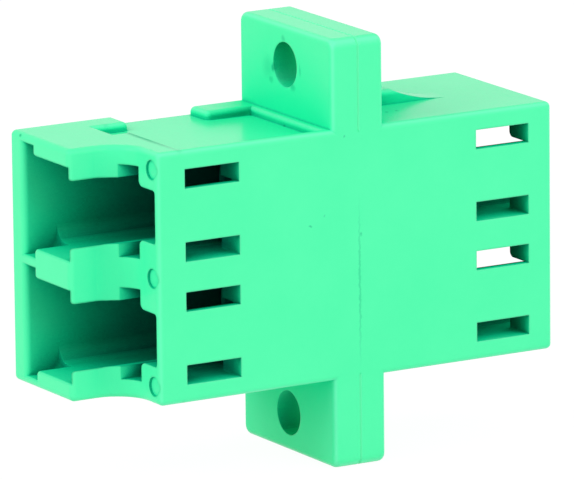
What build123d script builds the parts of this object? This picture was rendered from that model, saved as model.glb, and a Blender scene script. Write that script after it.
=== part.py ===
"""Two-port fibre optic adapter with a screw flange.

Two moulded halves are welded at the middle plane of the flange. Each half has a pair of plug
ports, one above the other, with a slot for the latch lever, a wider channel for its lugs and
two latch windows per port. Tubes on the inner web hold two split ceramic sleeves.

Frame: X along the fibres, with X = 0 at the weld seam, -X towards the notched mouths;
-Y is the latch side and +Z runs up the flange.
"""

import os

from build123d import *

os.makedirs("parts", exist_ok=True)

# Driving dimensions of the two halves, in millimetres
FRONT_LENGTH = 14.8
REAR_LENGTH = 11.4
EDGE_RADIUS = 0.28

# Flange, half of it on each housing, and its two screws
FLANGE_THICKNESS = 1.5
FLANGE_CORNER = 0.5
FLANGE_EDGE = 0.3
SEAM_CHAMFER = 0.07
SCREW_PITCH = 18.0
SCREW_MARGIN = 2.0
SCREW_HOLE = 2.3

# Plug ports, in the order from the far wall to the latch side
PORT_PITCH = 6.25
FAR_WALL = 1.3
CAVITY_DEPTH = 4.6
CAVITY_HEIGHT = 4.75
CAVITY_CORNER = 0.8
LEDGE_THICKNESS = 0.48
LEDGE_GAP = 3.38
CHANNEL_DEPTH = 1.0
CHANNEL_HEIGHT = 4.7
LUG_CORNER = 0.3
SLOT_DEPTH = 1.52
SLOT_HEIGHT = 2.72
SLOT_SKIN = 0.3
SLOT_MOUTH_CORNER = 0.2
SLOT_INNER_CORNER = 0.6
ROOF = 0.425
LEAD_IN_HEIGHT = 5.75
LEAD_IN_DEPTH = 1.1
LEAD_IN_LENGTH = 1.9
LEAD_IN_EDGE = 0.3
STEP_CORNER = 0.18
MOUTH_CHAMFER = 0.08

# Latch windows, measured from the seam
WINDOW_START = 6.9
WINDOW_END = 10.0

# Notch that cuts the front mouths back on the latch side, and its ejector pin marks
NOTCH_LENGTH = 3.25
NOTCH_LIP = 0.1
NOTCH_RADIUS = 1.75
PIN_MARK_RADIUS = 0.5
PIN_MARK_DEPTH = 0.12
PIN_MARK_INSET = 0.63
PIN_MARK_HEIGHT = 5.5

# Clip seat in the top and the bottom of the front half
SEAT_DEPTH = 0.45
SEAT_RIM = 0.63
SEAT_LEDGE = 0.4
SEAT_END = 9.98
SEAT_NOTCH_LENGTH = 0.97
SEAT_NOTCH_WIDTH = 2.0
SEAT_BLOCK_WIDTH = 1.8
SEAT_BLOCK_LENGTH = 1.03
SEAT_RAIL_LENGTH = 3.0
SEAT_CORNER = 0.3
SEAT_EDGE = 0.28

# Gussets on the top and the bottom of the rear half
RIB_HEIGHT = 0.75
RIB_WIDTH = 1.3
RIB_ROUND = 0.3
RIB_CREST_LENGTH = 2.8
RIB_LENGTH = 6.0

# Inner web, sleeve holders and split sleeves
WEB_THICKNESS = 1.5
HOLDER_REACH = 4.0
HOLDER_DIAMETER = 2.85
HOLDER_THROAT = 1.45
HOLDER_MOUTH = 2.0
SLEEVE_LENGTH = 6.8
SLEEVE_OUTER = 1.62
SLEEVE_BORE = 1.246
SLEEVE_SLIT = 0.25
SLEEVE_CHAMFER = 0.08
SLEEVE_SIDE_PLAY = 0.065
SLEEVE_END_PLAY = 0.1

# Body and flange around the ports, planes across their depth, and the heights that repeat
BODY_DEPTH = FAR_WALL + CAVITY_DEPTH + LEDGE_THICKNESS + CHANNEL_DEPTH + SLOT_DEPTH + SLOT_SKIN
BODY_HEIGHT = PORT_PITCH + LEAD_IN_HEIGHT + 2 * ROOF
FLANGE_HEIGHT = SCREW_PITCH + 2 * SCREW_MARGIN
far_y = BODY_DEPTH / 2 - FAR_WALL
fibre_y = far_y - CAVITY_DEPTH / 2
cavity_y = far_y - CAVITY_DEPTH
ledge_y = cavity_y - LEDGE_THICKNESS
channel_y = ledge_y - CHANNEL_DEPTH
slot_y = SLOT_SKIN - BODY_DEPTH / 2
top_z = BODY_HEIGHT / 2
port_heights = (PORT_PITCH / 2, -PORT_PITCH / 2)
screw_heights = (SCREW_PITCH / 2, -SCREW_PITCH / 2)
sleeve_end = SLEEVE_LENGTH / 2 + SLEEVE_END_PLAY
notch_x = NOTCH_LENGTH - FRONT_LENGTH
notch_y = cavity_y - NOTCH_LIP
seat_low = SEAT_RIM - BODY_DEPTH / 2
FRONT, REAR = -1, 1

# Reach for picking edges by their place
EDGE_MARGIN = 0.01


def rounded_block(plan):
    """Body of a half: its plan outline through the full height, all outer edges rounded."""
    with BuildPart() as block:
        with BuildSketch(Plane.XY.offset(-top_z)):
            add(plan)
        extrude(amount=BODY_HEIGHT)
        fillet(block.faces().filter_by(Axis.Z).edges(), EDGE_RADIUS)
    return block.part


def flange_half(side):
    """Half of the screw flange, rounded outside and barely broken at the weld seam."""
    with BuildPart() as flange:
        with BuildSketch(Plane.YZ):
            RectangleRounded(BODY_DEPTH, FLANGE_HEIGHT, FLANGE_CORNER)
        extrude(amount=side * FLANGE_THICKNESS)
        seam, outer = flange.faces().filter_by(Axis.X).sort_by(lambda face: abs(face.center().X))
        fillet(outer.edges(), FLANGE_EDGE)
        chamfer(seam.edges(), SEAM_CHAMFER)
    return flange.part


def strip(low_y, high_y, height, z):
    """One step of a port's profile, between two planes across its depth."""
    with Locations(((low_y + high_y) / 2, z)):
        Rectangle(high_y - low_y, height)


def cut_ports(side, length):
    """Cut both plug ports from the mouth down to the web, with lead-ins and latch windows."""
    mouth = Plane.YZ.offset(side * length)
    for z in port_heights:
        with BuildSketch(mouth) as cavity:
            strip(cavity_y, far_y, CAVITY_HEIGHT, z)
            fillet(cavity.vertices().group_by(Axis.X)[-1], CAVITY_CORNER)
            strip(ledge_y, cavity_y, LEDGE_GAP, z)
            fillet(cavity.vertices().sort_by_distance((cavity_y, z, 0))[:2], STEP_CORNER)
        extrude(cavity.sketch, amount=side * (WEB_THICKNESS - length), mode=Mode.SUBTRACT)

        with BuildSketch(mouth) as latch_way:
            strip(channel_y, ledge_y, CHANNEL_HEIGHT, z)
            strip(slot_y, channel_y, SLOT_HEIGHT, z)
            corners = latch_way.vertices().group_by(Axis.X)
            fillet(corners[0], SLOT_MOUTH_CORNER)
            fillet(latch_way.vertices().sort_by_distance((channel_y, z, 0))[:2], LUG_CORNER)
        extrude(latch_way.sketch, amount=side * (WINDOW_START - length), mode=Mode.SUBTRACT)

        with BuildSketch(Plane.YZ.offset(side * WINDOW_START)) as lug_way:
            strip(channel_y, ledge_y, CHANNEL_HEIGHT, z)
        extrude(lug_way.sketch, amount=side * (WEB_THICKNESS - WINDOW_START), mode=Mode.SUBTRACT)

        with BuildSketch(Plane.YZ.offset(side * WINDOW_START)) as inner_slot:
            strip(slot_y, channel_y, SLOT_HEIGHT, z)
            fillet(inner_slot.vertices().group_by(Axis.X)[0], SLOT_INNER_CORNER)
        extrude(inner_slot.sketch, amount=side * (WEB_THICKNESS - WINDOW_START), mode=Mode.SUBTRACT)

        with BuildSketch(mouth) as lead_in:
            strip(far_y - LEAD_IN_DEPTH, far_y, LEAD_IN_HEIGHT, z)
        extrude(lead_in.sketch, amount=-side * LEAD_IN_LENGTH, mode=Mode.SUBTRACT)

        window_height = (CHANNEL_HEIGHT - SLOT_HEIGHT) / 2
        window_offset = (CHANNEL_HEIGHT + SLOT_HEIGHT) / 4
        with BuildSketch(Plane.XZ.offset(BODY_DEPTH / 2)) as windows:
            with Locations(
                (side * (WINDOW_START + WINDOW_END) / 2, z + window_offset),
                (side * (WINDOW_START + WINDOW_END) / 2, z - window_offset),
            ):
                Rectangle(WINDOW_END - WINDOW_START, window_height)
        extrude(windows.sketch, amount=-(BODY_DEPTH / 2 + channel_y), mode=Mode.SUBTRACT)


def round_mouth_edges(housing, side, length, low_y):
    """Round the lead-ins on the far wall and at their steps, and break the other port edges."""
    upright_edges = housing.edges().filter_by(Axis.Z)
    level_edges = housing.edges().filter_by(Axis.X)
    for z in port_heights:
        corner = (side * length, far_y, z)
        fillet(upright_edges.sort_by_distance(corner)[0], LEAD_IN_EDGE)
        for step_z in (z + CAVITY_HEIGHT / 2, z - CAVITY_HEIGHT / 2):
            step = (side * (length - LEAD_IN_LENGTH / 2), far_y - LEAD_IN_DEPTH, step_z)
            fillet(level_edges.sort_by_distance(step)[0], STEP_CORNER)
    mouth = housing.faces().sort_by(lambda face: side * face.center().X)[-1]
    port_top = top_z - ROOF + EDGE_MARGIN
    port_edges = mouth.edges().filter_by_position(Axis.Z, -port_top, port_top)
    port_edges = port_edges.filter_by_position(Axis.Y, low_y, far_y + EDGE_MARGIN)
    chamfer(port_edges, MOUTH_CHAMFER)


def add_sleeve_holders(side):
    """Tubes on the web that hold the sleeves, with a funnel that keeps them in."""
    web = Plane.YZ.offset(side * WEB_THICKNESS)
    for z in port_heights:
        with BuildSketch(web) as tube:
            with Locations((fibre_y, z)):
                Circle(HOLDER_DIAMETER / 2)
        extrude(tube.sketch, amount=side * (HOLDER_REACH - WEB_THICKNESS))
        with BuildSketch(Plane.YZ) as sleeve_room:
            with Locations((fibre_y, z)):
                Circle(SLEEVE_OUTER / 2 + SLEEVE_SIDE_PLAY)
        extrude(sleeve_room.sketch, amount=side * sleeve_end, mode=Mode.SUBTRACT)
        with BuildSketch(Plane.YZ.offset(side * sleeve_end)) as throat:
            with Locations((fibre_y, z)):
                Circle(HOLDER_THROAT / 2)
        with BuildSketch(Plane.YZ.offset(side * HOLDER_REACH)) as funnel_mouth:
            with Locations((fibre_y, z)):
                Circle(HOLDER_MOUTH / 2)
        loft([throat.sketch, funnel_mouth.sketch], mode=Mode.SUBTRACT)


def cut_screw_holes(side):
    """Screw holes above and below the body, through this half of the flange."""
    with BuildSketch(Plane.YZ) as holes:
        with Locations(*[(0, z) for z in screw_heights]):
            Circle(SCREW_HOLE / 2)
    extrude(holes.sketch, amount=side * FLANGE_THICKNESS, mode=Mode.SUBTRACT)


def round_seat_edges(housing):
    """Round the upper edges all around both clip seats."""
    far_end = -SEAT_END - SEAT_NOTCH_LENGTH - EDGE_MARGIN
    far_side = BODY_DEPTH / 2 - EDGE_RADIUS - EDGE_MARGIN
    for z in (top_z, -top_z):
        edges = housing.edges().filter_by_position(Axis.Z, z - EDGE_MARGIN, z + EDGE_MARGIN)
        edges = edges.filter_by_position(Axis.X, far_end, -FLANGE_THICKNESS - EDGE_MARGIN)
        edges = edges.filter_by_position(Axis.Y, seat_low - EDGE_MARGIN, far_side)
        fillet(edges, SEAT_EDGE)


def gusset():
    """Round-topped rib that stiffens the flange: a level crest, then a concave fall."""
    start = FLANGE_THICKNESS / 2
    crest_end = FLANGE_THICKNESS + RIB_CREST_LENGTH
    rib_end = FLANGE_THICKNESS + RIB_LENGTH
    root_z = top_z - EDGE_RADIUS
    crest_z = top_z + RIB_HEIGHT
    with BuildPart() as rib:
        with BuildSketch(Plane.XZ):
            with BuildLine():
                TangentArc((rib_end, top_z), (crest_end, crest_z), tangent=(-1, 0))
                Polyline(
                    (crest_end, crest_z),
                    (start, crest_z),
                    (start, root_z),
                    (rib_end, root_z),
                    (rib_end, top_z),
                )
            make_face()
        extrude(amount=RIB_WIDTH / 2, both=True)
        with BuildSketch(Plane.YZ) as section:
            with Locations((0, crest_z)):
                Rectangle(RIB_WIDTH, crest_z - root_z, align=(Align.CENTER, Align.MAX))
            fillet(section.vertices().group_by(Axis.Y)[-1], RIB_ROUND)
        extrude(amount=rib_end, mode=Mode.INTERSECT)
    return rib.part


with BuildSketch() as front_plan:
    Rectangle(FRONT_LENGTH, BODY_DEPTH, align=(Align.MAX, Align.CENTER))
    with Locations((-FRONT_LENGTH, notch_y)):
        Rectangle(
            NOTCH_LENGTH,
            BODY_DEPTH / 2 + notch_y,
            align=(Align.MIN, Align.MAX),
            mode=Mode.SUBTRACT,
        )
    corners = front_plan.vertices()
    inner = corners.sort_by_distance((notch_x, notch_y, 0))[0]
    outer = corners.filter_by(lambda corner: corner is not inner and corner.X < 0)
    fillet(inner, NOTCH_RADIUS)
    fillet([front_plan.vertices().sort_by_distance(corner)[0] for corner in outer], EDGE_RADIUS)

with BuildSketch() as rear_plan:
    Rectangle(REAR_LENGTH, BODY_DEPTH, align=(Align.MIN, Align.CENTER))
    fillet(rear_plan.vertices().group_by(Axis.X)[-1], EDGE_RADIUS)

with BuildSketch() as clip_seat:
    seat_start = -FLANGE_THICKNESS - SEAT_LEDGE
    with Locations((seat_start, seat_low)):
        Rectangle(SEAT_END + seat_start, BODY_DEPTH, align=(Align.MAX, Align.MIN))
    block_y = BODY_DEPTH / 2 - SEAT_BLOCK_WIDTH
    with Locations((-SEAT_END, block_y)):
        Rectangle(
            SEAT_NOTCH_LENGTH,
            SEAT_NOTCH_WIDTH,
            align=(Align.MAX, Align.MAX),
        )
        Rectangle(
            SEAT_BLOCK_LENGTH,
            BODY_DEPTH,
            align=(Align.MIN, Align.MIN),
            mode=Mode.SUBTRACT,
        )
    with Locations((-FLANGE_THICKNESS, block_y)):
        Rectangle(
            SEAT_RAIL_LENGTH,
            BODY_DEPTH,
            align=(Align.MAX, Align.MIN),
            mode=Mode.SUBTRACT,
        )
    seat_corners = (
        (SEAT_BLOCK_LENGTH - SEAT_END, block_y, 0),
        (-FLANGE_THICKNESS - SEAT_RAIL_LENGTH, block_y, 0),
    )
    fillet([clip_seat.vertices().sort_by_distance(point)[0] for point in seat_corners], SEAT_CORNER)

front_block = rounded_block(front_plan.sketch)
front_flange = flange_half(FRONT)
with BuildPart() as front_housing:
    add(front_block)
    add(front_flange)
    cut_ports(FRONT, FRONT_LENGTH)
    round_mouth_edges(front_housing, FRONT, FRONT_LENGTH, notch_y + EDGE_RADIUS + EDGE_MARGIN)
    add_sleeve_holders(FRONT)
    cut_screw_holes(FRONT)
    for face in (1, -1):
        with BuildSketch(Plane.XY.offset(face * top_z)) as seat:
            add(clip_seat.sketch)
        extrude(seat.sketch, amount=-face * SEAT_DEPTH, mode=Mode.SUBTRACT)
    round_seat_edges(front_housing)
    with BuildSketch(Plane.YZ.offset(notch_x)) as pin_marks:
        mark_y = PIN_MARK_INSET - BODY_DEPTH / 2
        with Locations((mark_y, PIN_MARK_HEIGHT), (mark_y, 0), (mark_y, -PIN_MARK_HEIGHT)):
            Circle(PIN_MARK_RADIUS)
    extrude(pin_marks.sketch, amount=PIN_MARK_DEPTH, mode=Mode.SUBTRACT)
front_housing.part.label = "front_housing"
export_step(front_housing.part, "parts/front_housing.step")

rear_block = rounded_block(rear_plan.sketch)
rear_flange = flange_half(REAR)
rear_gusset = gusset()
with BuildPart() as rear_housing:
    add(rear_block)
    add(rear_flange)
    add(rear_gusset)
    add(mirror(rear_gusset, about=Plane.XY, mode=Mode.PRIVATE))
    cut_ports(REAR, REAR_LENGTH)
    round_mouth_edges(rear_housing, REAR, REAR_LENGTH, slot_y - EDGE_MARGIN)
    add_sleeve_holders(REAR)
    cut_screw_holes(REAR)
rear_housing.part.label = "rear_housing"
export_step(rear_housing.part, "parts/rear_housing.step")

for name, z in zip(("upper_sleeve", "lower_sleeve"), port_heights):
    with BuildPart() as sleeve:
        with BuildSketch(Plane.YZ.offset(-SLEEVE_LENGTH / 2)):
            with Locations((fibre_y, z)):
                Circle(SLEEVE_OUTER / 2)
                Circle(SLEEVE_BORE / 2, mode=Mode.SUBTRACT)
                Rectangle(
                    SLEEVE_SLIT,
                    SLEEVE_OUTER,
                    align=(Align.CENTER, Align.MIN),
                    mode=Mode.SUBTRACT,
                )
        extrude(amount=SLEEVE_LENGTH)
        chamfer(sleeve.faces().filter_by(Axis.X).edges().filter_by(GeomType.CIRCLE), SLEEVE_CHAMFER)
    sleeve.part.label = name
    export_step(sleeve.part, f"parts/{name}.step")
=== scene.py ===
"""Looks of the two-port fibre optic adapter: moulded green plastic, ceramic sleeves, white studio."""

import math

import bpy
from mathutils import Matrix, Vector


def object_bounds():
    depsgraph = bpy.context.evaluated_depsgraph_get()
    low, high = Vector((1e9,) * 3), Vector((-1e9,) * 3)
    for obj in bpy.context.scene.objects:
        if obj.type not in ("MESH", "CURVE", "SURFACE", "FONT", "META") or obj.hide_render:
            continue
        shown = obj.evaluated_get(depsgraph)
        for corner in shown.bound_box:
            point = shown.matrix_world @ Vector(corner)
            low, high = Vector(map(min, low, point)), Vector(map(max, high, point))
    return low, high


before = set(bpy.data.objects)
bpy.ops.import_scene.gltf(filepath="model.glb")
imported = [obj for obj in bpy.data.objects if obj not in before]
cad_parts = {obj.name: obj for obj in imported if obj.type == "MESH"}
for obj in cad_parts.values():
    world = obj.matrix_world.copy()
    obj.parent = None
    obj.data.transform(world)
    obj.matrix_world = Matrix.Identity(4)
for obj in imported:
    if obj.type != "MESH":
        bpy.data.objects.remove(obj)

cad_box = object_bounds()
MM = 0.001

# The photograph's camera: a long lens, turned a little and looking slightly down. It shows all that
# lies between its two clip distances, in metres
IMAGE_WIDTH = 574
FOCAL_PIXELS = 8614.96
SENSOR_WIDTH = 36.0
CAMERA_AZIMUTH = math.radians(-30.333)
CAMERA_ELEVATION = math.radians(12.728)
CAMERA_ROLL = math.radians(-0.621)
CAMERA_DISTANCE = 435.2 * MM
AIM_RIGHT = -1.292 * MM
AIM_UP = -0.193 * MM
CLIP_START = 0.01
CLIP_END = 10.0

# White surroundings: how strongly they light the part, and how they look themselves
SKY_LEVEL = 0.70
WHITE_LEVEL = 1.0

# Two square softboxes, by the direction that they stand in, with sizes in metres and power in watts
LAMP_AZIMUTHS = {"left": -95.0, "right": 15.0}
LAMP_ELEVATION = math.radians(30.0)
LAMP_DISTANCE = 0.6
LAMP_SIZE = 0.45
LAMP_POWER = 1.46

# White floor: its surface, its glow, and the glow's share where it lights the part and where it is seen
FLOOR_HALF = 600 * MM
FLOOR_COLOUR = (0.8, 0.8, 0.8, 1.0)
FLOOR_GLOW = 1.06
GLOW_SHARE_LIGHTING = 0.22
GLOW_SHARE_SEEN = 0.9

# Air between the floor and the flange's lower edge, so that the two faces don't fight
FLOOR_GAP = 0.02 * MM
FLOOR_HEIGHT = cad_box[0][2] - FLOOR_GAP

# Colours of the moulded plastic on open faces, a painted highlight on edges, painted shade on shaded
# faces, in hollows and inner corners, then marks and painted shade lines
FLOW_DULL = (0.068, 0.862, 0.38, 1.0)
FLOW_BRIGHT = (0.102, 0.91, 0.426, 1.0)
EDGE_HIGHLIGHT_COLOUR = (0.145, 0.90, 0.48, 1.0)
PAINTED_SHADE_COLOUR = (0.003, 0.86, 0.43, 1.0)
HOLLOW_SHADE_COLOUR = (0.0002, 0.045, 0.050, 1.0)
CORNER_SHADE_COLOUR = (0.001, 0.48, 0.25, 1.0)
MARK_AND_SHADE_COLOUR = (0.001, 0.30, 0.15, 1.0)

# How far around a point its surroundings count as a hollow or as an inner corner, for the painted shade
HOLLOW_REACH = 8.0 * MM
CORNER_REACH = 0.6 * MM
REACH_SAMPLES = 8

# Open share of the surroundings over which each change goes from none to full
OPEN_TO_UNSHADED = (0.45, 1.0)
OPEN_TO_GLOSSY = (0.45, 0.97)
HOLLOW_SHADE_TO_CLEAR = (0.05, 0.72)
CORNER_TO_CLEAR = (0.40, 0.62)

# Lifts that lessen the painted hollow shade: behind x of 3 to 5 mm, on floors, which they paint lighter
# as if lit from above, and on the broad faces of the flange's ears
REAR_PLACES = (3.0 * MM, 5.0 * MM)
REAR_LIFT = 0.08
UPWARD_FACING = (0.8, 1.0)
UPWARD_LIFT = 0.2
ENDWISE_FACING = (0.6, 1.0)
EAR_PLACES = (6.0 * MM, 6.6 * MM)
EAR_LIFT = 0.12

# Soft edges: their radius, which fades out beside the seam's groove, and the range over which the
# largest part of the softened direction tells an edge from a flat face. Behind the notch the edges
# get a painted highlight, in front of the notch they don't
EDGE_RADIUS = 0.15 * MM
EDGE_SAMPLES = 6
BESIDE_SEAM = (0.2 * MM, 0.5 * MM)
EDGE_TO_FLAT = (0.75, 0.99)
BEHIND_NOTCH = (-11.7 * MM, -11.3 * MM)

# Plastic's gloss, mould grain and ripple. Each noise has its scale per metre, detail and roughness
PLASTIC_IOR = 1.45
SHARE_TO_GLOSS = (0.4, 0.85)
GLOSS_LEVEL = 0.14
PLASTIC_ROUGHNESS = (0.18, 0.26)
FLOW_NOISE = (180.0, 8.0, 0.68)
GRAIN_NOISE = (5200.0, 3.0, 0.6)
RIPPLE_NOISE = (420.0, 3.0, 0.5)
GRAIN_SHARE = 0.08
PLASTIC_BUMP = 0.12
PLASTIC_BUMP_HEIGHT = 0.02 * MM

# Ceramic of the sleeves
CERAMIC_IOR = 2.1
CERAMIC_DULL = (0.80, 0.79, 0.74, 1.0)
CERAMIC_BRIGHT = (0.86, 0.85, 0.81, 1.0)
CLOUD_NOISE = (900.0, 3.0, 0.5)
GRINDING_SCALE = 9000.0
GRINDING_DISTORTION = 1.5
CERAMIC_ROUGHNESS = (0.12, 0.2)
CERAMIC_BUMP = 0.1
CERAMIC_BUMP_HEIGHT = 0.005 * MM

# Part of a noise's range that most of its values lie in
USUAL_NOISE = (0.3, 0.7)

# Darker spots seen in the plastic and lines of painted shade, centre and half sizes in millimetres and
# what share of the colour is kept: burrs round the upper screw hole, painted shade along the rounded
# end of the clip seats, specks on the front half's top, beside the rear gusset and at one corner, then
# the welded seam's faint line down the latch side and specks on that side
MARKS_AND_SHADE_LINES = [
    ((-1.5, 1.20, 8.66), (0.2, 0.26, 0.40), 0.35),
    ((-1.5, 1.70, 8.60), (0.2, 0.75, 0.85), 0.82),
    ((-1.5, -0.74, 7.94), (0.2, 0.36, 0.28), 0.66),
    ((-1.5, -1.45, 8.95), (0.2, 0.12, 0.50), 0.65),
    ((-1.5, 0.16, 10.30), (0.2, 0.26, 0.28), 0.68),
    ((-1.5, 1.40, 8.02), (0.2, 0.34, 0.26), 0.70),
    # painted shade along the rounded end of the clip seats, top and bottom
    ((-10.22, -0.9, 6.42), (0.38, 5.2, 0.4), 0.42),
    ((-10.22, -0.9, -6.42), (0.38, 5.2, 0.4), 0.42),
    ((-1.9, -0.56, 6.0), (0.1, 0.16, 0.14), 0.3),
    ((3.1, -2.2, 6.42), (0.14, 0.14, 0.1), 0.3),
    ((3.7, -2.2, 6.42), (0.14, 0.14, 0.1), 0.3),
    ((-14.78, 3.53, 6.31), (0.14, 0.16, 0.14), 0.3),
    ((0.02, -4.6, -1.6), (0.1, 0.2, 5.2), 0.7),
    ((0.11, -4.6, 0.95), (0.12, 0.2, 0.16), 0.6),
    ((-0.83, -4.6, 6.08), (0.1, 0.2, 0.12), 0.6),
    ((-2.81, -4.6, 1.70), (0.1, 0.2, 0.09), 0.55),
    ((-2.0, -4.6, 2.14), (0.08, 0.2, 0.08), 0.7),
]

# Marks and painted shade lines fall off from this share of their size to their rim, which a fine noise
# shakes by up to 0.1 mm
SPOT_FALL = (0.15, 1.0)
SHAKE_NOISE = (4000.0, 2.0, 0.6)
SHAKE = 0.1 * MM


def facing_direction(azimuth, elevation):
    """Direction from the part towards a camera or lamp that stands at these angles."""
    return Vector(
        (
            math.sin(azimuth) * math.cos(elevation),
            -math.cos(azimuth) * math.cos(elevation),
            math.sin(elevation),
        )
    )


def make_camera():
    back = facing_direction(CAMERA_AZIMUTH, CAMERA_ELEVATION)
    right = Vector((math.cos(CAMERA_AZIMUTH), math.sin(CAMERA_AZIMUTH), 0.0))
    up = back.cross(right)
    place = right * AIM_RIGHT + up * AIM_UP + back * CAMERA_DISTANCE
    rolled_right = right * math.cos(CAMERA_ROLL) + up * math.sin(CAMERA_ROLL)
    rolled_up = up * math.cos(CAMERA_ROLL) - right * math.sin(CAMERA_ROLL)
    data = bpy.data.cameras.new("camera")
    data.sensor_width = SENSOR_WIDTH
    data.lens = FOCAL_PIXELS / IMAGE_WIDTH * SENSOR_WIDTH
    data.clip_start = CLIP_START
    data.clip_end = CLIP_END
    camera = bpy.data.objects.new("camera", data)
    axes = Matrix((rolled_right, rolled_up, back)).transposed()
    camera.matrix_world = Matrix.Translation(place) @ axes.to_4x4()
    bpy.context.scene.collection.objects.link(camera)
    bpy.context.scene.camera = camera


def new_material(name):
    material = bpy.data.materials.new(name)
    material.use_nodes = True
    tree = material.node_tree
    return material, tree, tree.nodes["Principled BSDF"]


def object_place(tree):
    """Place on the part, in its own metres."""
    return tree.nodes.new("ShaderNodeTexCoord").outputs["Object"]


def separated(tree, vector):
    """The X, Y and Z of a vector."""
    node = tree.nodes.new("ShaderNodeSeparateXYZ")
    tree.links.new(vector, node.inputs["Vector"])
    return node.outputs


def noise(tree, settings):
    """Outputs of a noise in the part's own metres."""
    node = tree.nodes.new("ShaderNodeTexNoise")
    scale, detail, roughness = settings
    node.inputs["Scale"].default_value = scale
    node.inputs["Detail"].default_value = detail
    node.inputs["Roughness"].default_value = roughness
    tree.links.new(object_place(tree), node.inputs["Vector"])
    return node.outputs


def ramp(tree, value, span, low=0.0, high=1.0, smooth=True):
    """Number that goes from low to high while the value goes through the span."""
    node = tree.nodes.new("ShaderNodeMapRange")
    if smooth:
        node.interpolation_type = "SMOOTHSTEP"
    start, end = span
    node.inputs["From Min"].default_value = start
    node.inputs["From Max"].default_value = end
    node.inputs["To Min"].default_value = low
    node.inputs["To Max"].default_value = high
    tree.links.new(value, node.inputs["Value"])
    return node.outputs["Result"]


def calculated(tree, operation, *values):
    """Result of one operation on numbers of other nodes."""
    node = tree.nodes.new("ShaderNodeMath")
    node.operation = operation
    for value, target in zip(values, node.inputs):
        tree.links.new(value, target)
    return node.outputs["Value"]


def mixed(tree, share, first, second):
    """Mix of two colours, plain or from other nodes, by the second one's share."""
    node = tree.nodes.new("ShaderNodeMix")
    node.data_type = "RGBA"
    tree.links.new(share, node.inputs["Factor"])
    for target, colour in (("A", first), ("B", second)):
        if isinstance(colour, tuple):
            node.inputs[target].default_value = colour
        else:
            tree.links.new(colour, node.inputs[target])
    return node.outputs["Result"]


def bumped(tree, height, strength, distance):
    """Bump node, whose Normal can still be linked."""
    node = tree.nodes.new("ShaderNodeBump")
    node.inputs["Strength"].default_value = strength
    node.inputs["Distance"].default_value = distance
    tree.links.new(height, node.inputs["Height"])
    return node


def open_share(tree, reach):
    """How much of the surroundings within reach is open, from 0 to 1."""
    node = tree.nodes.new("ShaderNodeAmbientOcclusion")
    node.samples = REACH_SAMPLES
    node.only_local = True
    node.inputs["Distance"].default_value = reach
    return node.outputs["AO"]


def ragged_place(tree):
    """Place on the part shaken by a fine noise, so that marks and painted shade lines get uneven rims.
    """
    shaken = tree.nodes.new("ShaderNodeVectorMath")
    shaken.operation = "MULTIPLY_ADD"
    shaken.inputs[1].default_value = (2 * SHAKE, 2 * SHAKE, 2 * SHAKE)
    tree.links.new(noise(tree, SHAKE_NOISE)["Color"], shaken.inputs[0])
    tree.links.new(object_place(tree), shaken.inputs[2])
    centred = tree.nodes.new("ShaderNodeVectorMath")
    centred.operation = "SUBTRACT"
    centred.inputs[1].default_value = (SHAKE, SHAKE, SHAKE)
    tree.links.new(shaken.outputs["Vector"], centred.inputs[0])
    return centred.outputs["Vector"]


def spot_distance(tree, place, centre, sizes):
    """Distance from the centre of a mark or painted shade line, which is 1 at its rim."""
    local = tree.nodes.new("ShaderNodeMapping")
    local.vector_type = "TEXTURE"
    local.inputs["Location"].default_value = [value * MM for value in centre]
    local.inputs["Scale"].default_value = [value * MM for value in sizes]
    tree.links.new(place, local.inputs["Vector"])
    length = tree.nodes.new("ShaderNodeVectorMath")
    length.operation = "LENGTH"
    tree.links.new(local.outputs["Vector"], length.inputs[0])
    return length.outputs["Value"]


def mark_and_shade_free_share(tree):
    """Number that is 1 on unmarked plastic and falls in the middle of every mark and painted shade
    line.
    """
    place = ragged_place(tree)
    shares = [
        ramp(tree, spot_distance(tree, place, centre, sizes), SPOT_FALL, low=kept)
        for centre, sizes, kept in MARKS_AND_SHADE_LINES
    ]
    lowest = shares[0]
    for share in shares[1:]:
        lowest = calculated(tree, "MINIMUM", lowest, share)
    return lowest


def extra_light(tree, parts):
    """Lift of the painted hollow shade for the rear half, for floors inside, painted lighter as if lit
    from above, and for the broad faces of the ears.
    """
    rear = ramp(tree, parts["X"], REAR_PLACES, high=REAR_LIFT)
    geometry = tree.nodes.new("ShaderNodeNewGeometry")
    facing = separated(tree, geometry.outputs["True Normal"])
    upward = ramp(tree, facing["Z"], UPWARD_FACING, high=UPWARD_LIFT, smooth=False)
    endwise = ramp(tree, calculated(tree, "ABSOLUTE", facing["X"]), ENDWISE_FACING, high=EAR_LIFT)
    ears = ramp(tree, calculated(tree, "ABSOLUTE", parts["Z"]), EAR_PLACES)
    inside = calculated(tree, "ADD", rear, upward)
    return calculated(tree, "ADD", inside, calculated(tree, "MULTIPLY", endwise, ears))


def soft_normal(tree, parts):
    """Direction of the surface with rounded edges, but not at the seam's narrow groove."""
    node = tree.nodes.new("ShaderNodeBevel")
    node.samples = EDGE_SAMPLES
    from_seam = calculated(tree, "ABSOLUTE", parts["X"])
    tree.links.new(ramp(tree, from_seam, BESIDE_SEAM, high=EDGE_RADIUS), node.inputs["Radius"])
    return node.outputs["Normal"]


def edge_highlight_share(tree, parts, softened):
    """1 on rounded edges behind the notch, which get a painted highlight there, and 0 on flat faces."""
    facing = separated(tree, softened)
    largest = calculated(tree, "ABSOLUTE", facing["X"])
    for axis in ("Y", "Z"):
        length = calculated(tree, "ABSOLUTE", facing[axis])
        largest = calculated(tree, "MAXIMUM", largest, length)
    turned = ramp(tree, largest, EDGE_TO_FLAT, low=1.0, high=0.0)
    return calculated(tree, "MULTIPLY", turned, ramp(tree, parts["X"], BEHIND_NOTCH))


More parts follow.
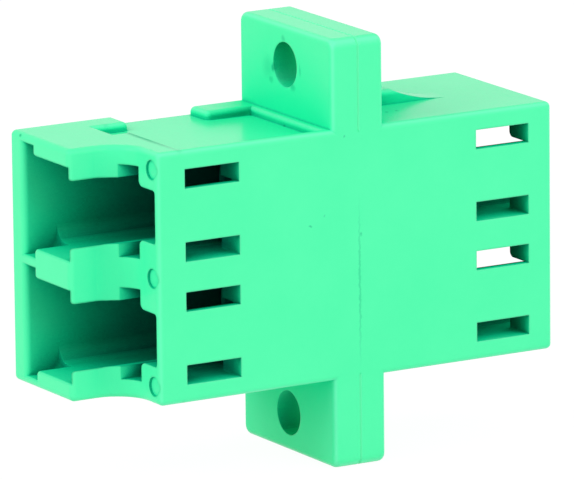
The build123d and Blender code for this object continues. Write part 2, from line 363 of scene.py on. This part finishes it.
def housing_colour(tree, parts, openness, softened, mark_and_shade_free):
    """Flow marks, a painted highlight on edges, painted shade on partly shaded faces, in hollows and in
    inner corners, then marks and painted shade lines.
    """
    skin = mixed(tree, noise(tree, FLOW_NOISE)["Fac"], FLOW_DULL, FLOW_BRIGHT)
    # painted highlight: rounded edges behind the notch are paler
    edge_highlighted = mixed(tree, edge_highlight_share(tree, parts, softened), skin, EDGE_HIGHLIGHT_COLOUR)
    # painted shade: faces with less open surroundings get a less red, shaded colour
    unshaded_share = ramp(tree, openness, OPEN_TO_UNSHADED, smooth=False)
    outside = mixed(tree, unshaded_share, PAINTED_SHADE_COLOUR, edge_highlighted)
    # painted shade: hollows darken to a deep teal by how closed their surroundings are
    lifted = calculated(tree, "ADD", openness, extra_light(tree, parts))
    hollow_shaded = mixed(tree, ramp(tree, lifted, HOLLOW_SHADE_TO_CLEAR), HOLLOW_SHADE_COLOUR, outside)
    # painted shade: inner corners darker
    clear = ramp(tree, open_share(tree, CORNER_REACH), CORNER_TO_CLEAR)
    corner_shaded = mixed(tree, clear, CORNER_SHADE_COLOUR, hollow_shaded)
    # marks, and painted shade at the clip seats' ends
    return mixed(tree, mark_and_shade_free, MARK_AND_SHADE_COLOUR, corner_shaded)


def housing_material():
    """Aqua green moulded plastic, whose gloss fades in hollows, on marks and on painted shade lines."""
    material, tree, shader = new_material("housing_plastic")
    parts = separated(tree, object_place(tree))
    openness = open_share(tree, HOLLOW_REACH)
    softened = soft_normal(tree, parts)
    mark_and_shade_free = mark_and_shade_free_share(tree)
    colour = housing_colour(tree, parts, openness, softened, mark_and_shade_free)
    glossy = calculated(tree, "MULTIPLY", ramp(tree, openness, OPEN_TO_GLOSSY), mark_and_shade_free)
    gloss = ramp(tree, glossy, SHARE_TO_GLOSS, high=GLOSS_LEVEL, smooth=False)
    grain = noise(tree, GRAIN_NOISE)["Fac"]
    roughness = ramp(tree, grain, USUAL_NOISE, *PLASTIC_ROUGHNESS, smooth=False)
    heights = tree.nodes.new("ShaderNodeMath")
    heights.operation = "MULTIPLY_ADD"
    heights.inputs[1].default_value = GRAIN_SHARE
    tree.links.new(grain, heights.inputs[0])
    tree.links.new(noise(tree, RIPPLE_NOISE)["Fac"], heights.inputs[2])
    bump = bumped(tree, heights.outputs["Value"], PLASTIC_BUMP, PLASTIC_BUMP_HEIGHT)
    tree.links.new(softened, bump.inputs["Normal"])
    shader.inputs["IOR"].default_value = PLASTIC_IOR
    tree.links.new(colour, shader.inputs["Base Color"])
    tree.links.new(gloss, shader.inputs["Specular IOR Level"])
    tree.links.new(roughness, shader.inputs["Roughness"])
    tree.links.new(bump.outputs["Normal"], shader.inputs["Normal"])
    return material


def sleeve_material():
    """Ground and polished zirconia: warm white, fine grinding lines round the sleeve."""
    material, tree, shader = new_material("sleeve_ceramic")
    colour = mixed(tree, noise(tree, CLOUD_NOISE)["Fac"], CERAMIC_DULL, CERAMIC_BRIGHT)
    grinding = tree.nodes.new("ShaderNodeTexWave")
    grinding.bands_direction = "X"
    grinding.inputs["Scale"].default_value = GRINDING_SCALE
    grinding.inputs["Distortion"].default_value = GRINDING_DISTORTION
    tree.links.new(object_place(tree), grinding.inputs["Vector"])
    lines = grinding.outputs["Fac"]
    roughness = ramp(tree, lines, USUAL_NOISE, *CERAMIC_ROUGHNESS, smooth=False)
    bump = bumped(tree, lines, CERAMIC_BUMP, CERAMIC_BUMP_HEIGHT)
    shader.inputs["IOR"].default_value = CERAMIC_IOR
    tree.links.new(colour, shader.inputs["Base Color"])
    tree.links.new(roughness, shader.inputs["Roughness"])
    tree.links.new(bump.outputs["Normal"], shader.inputs["Normal"])
    return material


def dress(node_name, material):
    """Give a CAD node the material."""
    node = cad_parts[node_name]
    node.data.materials.clear()
    node.data.materials.append(material)


def background_seen(tree):
    """1 for rays that show the background itself: from the camera, in gloss or through glass."""
    path = tree.nodes.new("ShaderNodeLightPath").outputs
    seen = calculated(tree, "MAXIMUM", path["Is Camera Ray"], path["Is Glossy Ray"])
    return calculated(tree, "MAXIMUM", seen, path["Is Transmission Ray"])


def floor_material():
    """White light table: white where seen, a little darker in the shadow, a soft light from below."""
    material = bpy.data.materials.new("white_floor")
    material.use_nodes = True
    tree = material.node_tree
    tree.nodes.clear()
    surface = tree.nodes.new("ShaderNodeBsdfDiffuse")
    surface.inputs["Color"].default_value = FLOOR_COLOUR
    glow = tree.nodes.new("ShaderNodeEmission")
    glow.inputs["Strength"].default_value = FLOOR_GLOW
    seen = background_seen(tree)
    share = ramp(tree, seen, (0.0, 1.0), GLOW_SHARE_LIGHTING, GLOW_SHARE_SEEN, smooth=False)
    mix = tree.nodes.new("ShaderNodeMixShader")
    tree.links.new(share, mix.inputs["Fac"])
    tree.links.new(surface.outputs["BSDF"], mix.inputs[1])
    tree.links.new(glow.outputs["Emission"], mix.inputs[2])
    out = tree.nodes.new("ShaderNodeOutputMaterial")
    tree.links.new(mix.outputs["Shader"], out.inputs["Surface"])
    return material


def make_floor():
    mesh = bpy.data.meshes.new("floor")
    corners = [
        (-FLOOR_HALF, -FLOOR_HALF, 0.0),
        (FLOOR_HALF, -FLOOR_HALF, 0.0),
        (FLOOR_HALF, FLOOR_HALF, 0.0),
        (-FLOOR_HALF, FLOOR_HALF, 0.0),
    ]
    mesh.from_pydata(corners, [], [(0, 1, 2, 3)])
    floor = bpy.data.objects.new("floor", mesh)
    floor.location.z = FLOOR_HEIGHT
    floor.data.materials.append(floor_material())
    bpy.context.scene.collection.objects.link(floor)


def make_sky():
    """White surroundings: full white where seen, a plain soft level where they light."""
    world = bpy.data.worlds.new("white_room")
    bpy.context.scene.world = world
    world.use_nodes = True
    tree = world.node_tree
    sky = tree.nodes["Background"]
    sky.inputs["Color"].default_value = (1.0, 1.0, 1.0, 1.0)
    level = ramp(tree, background_seen(tree), (0.0, 1.0), SKY_LEVEL, WHITE_LEVEL, smooth=False)
    tree.links.new(level, sky.inputs["Strength"])


def soft_lamp(name, azimuth):
    """Square softbox that looks at the middle of the part."""
    data = bpy.data.lights.new(name, "AREA")
    data.shape = "SQUARE"
    data.size = LAMP_SIZE
    data.energy = LAMP_POWER
    lamp = bpy.data.objects.new(name, data)
    back = facing_direction(math.radians(azimuth), LAMP_ELEVATION)
    lamp.location = back * LAMP_DISTANCE
    lamp.rotation_euler = back.to_track_quat("Z", "Y").to_euler()
    bpy.context.scene.collection.objects.link(lamp)


make_camera()
bpy.context.scene.view_settings.view_transform = "Standard"

plastic = housing_material()
ceramic = sleeve_material()
dress("front_housing", plastic)
dress("rear_housing", plastic)
dress("upper_sleeve", ceramic)
dress("lower_sleeve", ceramic)

make_floor()
make_sky()
for lamp_name, lamp_azimuth in LAMP_AZIMUTHS.items():
    soft_lamp(lamp_name, lamp_azimuth)
